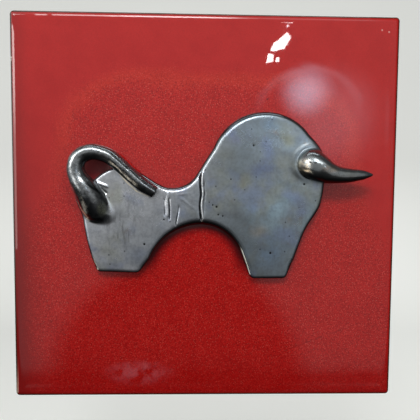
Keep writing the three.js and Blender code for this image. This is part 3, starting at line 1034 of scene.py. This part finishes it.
def soft_light(name, place, width, height, power, mirrored=True):
    """An area light at a place in millimetres (x, z, h) that faces the target."""
    data = bpy.data.lights.new(name, "AREA")
    data.shape = "RECTANGLE"
    data.size = width
    data.size_y = height
    data.energy = power
    light = placed(name, data)
    light.location = row_frame(*place)
    aim = row_frame(0, 0, 0) - light.location
    light.rotation_mode = "QUATERNION"
    light.rotation_quaternion = aim.to_track_quat("-Z", "Y")
    light.visible_camera = False
    light.visible_glossy = mirrored


def lamp_image(name, points, material, faces=((0, 1, 2, 3),)):
    """A far lamp that shows in the glazes and lights nothing else."""
    mesh = bpy.data.meshes.new(name)
    mesh.from_pydata(points, [], faces)
    mesh.materials.append(material)
    lamp = placed(name, mesh)
    lamp.visible_camera = False
    lamp.visible_diffuse = False
    lamp.visible_shadow = False


def glowing(name, strength, colour):
    """A material that adds light and hides nothing behind it. strength(n) says how much, in its nodes."""
    n = new_material(name)
    n.tree.nodes.remove(n.shader)
    emission = n.add("ShaderNodeEmission", {"Color": (*colour, 1), "Strength": strength(n)}).outputs[0]
    clear = n.add("ShaderNodeBsdfTransparent").outputs[0]
    both = n.add("ShaderNodeAddShader", {0: emission, 1: clear}).outputs[0]
    n.link(both, n.tree.nodes["Material Output"].inputs["Surface"])
    return n.material


def far_place(x, z, distance):
    """The place at a distance that the camera sees mirrored at a place on the face."""
    camera_x, camera_z, camera_h = CAMERA_PLACE
    return row_frame(
        x + (x - camera_x) / camera_h * distance,
        z + (z - camera_z) / camera_h * distance,
        distance,
    )


def card_corners(place, width, height):
    """The corners of a card at a place in millimetres (x, z, h) that faces the target."""
    middle = row_frame(*place)
    turn = (row_frame(0, 0, 0) - middle).to_track_quat("-Z", "Y")
    across = turn @ Vector((width / 2, 0, 0))
    up = turn @ Vector((0, height / 2, 0))
    return [middle - across - up, middle + across - up, middle + across + up, middle - across + up]


def side_glows():
    """A window far to the left, and a warm glow low on the left, which line the edges that face them."""
    def window(n):
        return n.between(n.ramp(n.z, 0.08, 0.20), 2.5, 9.0)

    def warm(n):
        across = n.times(n.plus(n.x, 0.62), -0.56)
        across = n.math("ABSOLUTE", n.plus(across, n.times(n.plus(n.z, 0.42), 0.83)))
        return n.times(n.fall(across, 0.02, 0.095), 4.0)

    left = card_corners((-464, 88, 293), 0.20, 0.375)
    low = card_corners((-620, -420, 75), 0.50, 0.20)
    lamp_image("left_glow", left, glowing("left_light", window, (1.0, 0.97, 0.94)))
    lamp_image("warm_glow", low, glowing("warm_light", warm, (1.0, 0.86, 0.68)))


def window_glint():
    """A small bright window that shows as a glint in the glaze, in the upper right of the face."""
    # corners on the face, in millimetres, of each pane's image
    panes = [
        [(49.0, 122.0), (59.5, 124.0), (64.5, 132.5), (61.5, 136.5), (51.5, 128.0)],
        [(45.5, 113.5), (51.0, 115.0), (51.5, 120.0), (47.5, 120.5)],
        [(53.0, 114.5), (56.0, 115.0), (56.0, 118.0), (54.0, 118.0)],
        [(56.5, 140.5), (66.0, 143.4), (65.5, 141.6)],
    ]
    verts = []
    faces = []
    for pane in panes:
        faces.append(list(range(len(verts), len(verts) + len(pane))))
        verts += [far_place(x, z, 260.0) for x, z in pane]
    lamp_image("window_glint", verts, glowing("window_light", lambda n: 32.0, (1, 1, 1)), faces)


def skylight():
    """The windows: a far one before the tile and above it, parted by a thin post, and one overhead."""
    def before(n):
        middle = n.times(n.ramp(n.x, -0.36, -0.22), n.fall(n.x, -0.02, 0.16))
        strength = n.between(middle, n.ramp(n.x, 0.05, 0.20, 10.0, 1.1), 20.0)
        ends = n.times(n.ramp(n.x, -0.555, -0.545), n.fall(n.x, 0.54, 0.62))
        post = n.times(n.ramp(n.x, -0.520, -0.512), n.fall(n.x, -0.500, -0.492))
        rows = n.times(n.ramp(n.z, 0.72, 0.80), n.fall(n.z, 0.93, 1.02))
        return n.times(strength, rows, ends, n.minus(1.0, post))

    def overhead(n):
        return n.times(n.ramp(n.x, -0.45, -0.25), 4.5)

    low, high = (710, 1067), (1030, 812)
    far = [row_frame(x, *row) for x, row in ((-560, low), (630, low), (630, high), (-560, high))]
    over = [row_frame(x, 620, h) for x, h in ((-450, 5), (300, 5), (300, 60), (-450, 60))]
    lamp_image("window_before", far, glowing("window_before", before, (0.95, 0.97, 1.0)))
    lamp_image("window_overhead", over, glowing("window_overhead", overhead, (0.93, 0.96, 1.0)))


def lamp_glow():
    """A soft lamp, and a wider faint glow with a pale band round it, mirrored above the horn."""
    near_by, far_off = 1400.0, 1500.0

    def corners(distance):
        return [far_place(x, z, distance) for x, z in ((30, 5), (160, 5), (160, 135), (30, 135))]

    def away_from(n, x, z, width, height, distance):
        """0 at the middle of an oval in the mirrored picture, 1 at its edge."""
        middle = far_place(x, z, distance)
        grow = (1 + distance / CAMERA_PLACE[2]) * MM
        return n.distance((n.minus(n.x, middle.x), width * grow), (n.minus(n.z, middle.z), height * grow))

    def lamp(n):
        return n.times(n.fall(away_from(n, 77, 92, 26, 25, near_by), 0.0, 1.0), 6.0)

    def halo(n):
        wide = n.fall(away_from(n, 98, 72, 48, 50, far_off), 0.2, 1.0)
        uneven = n.times(n.minus(n.noise(2.2, 2.0), 0.5), 0.25)
        band = n.plus(away_from(n, 79, 75, 40, 35, far_off), uneven)
        band = n.times(n.ramp(band, 0.82, 0.97), n.fall(band, 0.97, 1.12))
        band = n.times(band, n.ramp(n.z, far_place(78, 66, far_off).z, far_place(78, 104, far_off).z))
        return n.plus(n.times(wide, 1.3), n.times(band, 0.9))

    lamp_image("lamp_glow", corners(near_by), glowing("lamp_light", lamp, (0.62, 0.97, 1.25)))
    lamp_image("lamp_halo", corners(far_off), glowing("halo_light", halo, (0.95, 0.90, 1.06)))


# The camera, where the photograph was taken: in tile coordinates, millimetres
CAMERA_PLACE = (-4.95, 17.0, 328.4)
CAMERA_LOOK = (0.0253, -0.0543, -0.9982)
CAMERA_UP = (-0.0063, 0.9985, -0.0544)


def make_camera():
    def direction(v):
        return Vector((v[0], -v[2], v[1])).normalized()

    data = bpy.data.cameras.new("camera")
    data.sensor_width = 36.0
    data.lens = 36.0
    data.clip_start = 0.01
    camera = placed("camera", data)
    back = -direction(CAMERA_LOOK)
    right = direction(CAMERA_UP).cross(back).normalized()
    up = back.cross(right)
    turn = Matrix((right, up, back)).transposed().to_4x4()
    camera.matrix_world = Matrix.Translation(row_frame(*CAMERA_PLACE)) @ turn
    bpy.context.scene.camera = camera


make_camera()
world_light()
soft_light("key", (-85, 450, 575), 0.16, 0.16, 2.0, mirrored=False)
soft_light("key_bar", (20, 470, 560), 0.60, 0.07, 1.5, mirrored=False)
soft_light("left_window", (-420, 420, 420), 0.14, 0.14, 0.6)
soft_light("right_fill", (560, -120, 520), 0.5, 0.5, 1.1, mirrored=False)
soft_light("behind", (300, 700, -1100), 0.8, 0.8, 5.0)
window_glint()
lamp_glow()
skylight()
side_glows()

bpy.context.scene.view_settings.view_transform = "Standard"
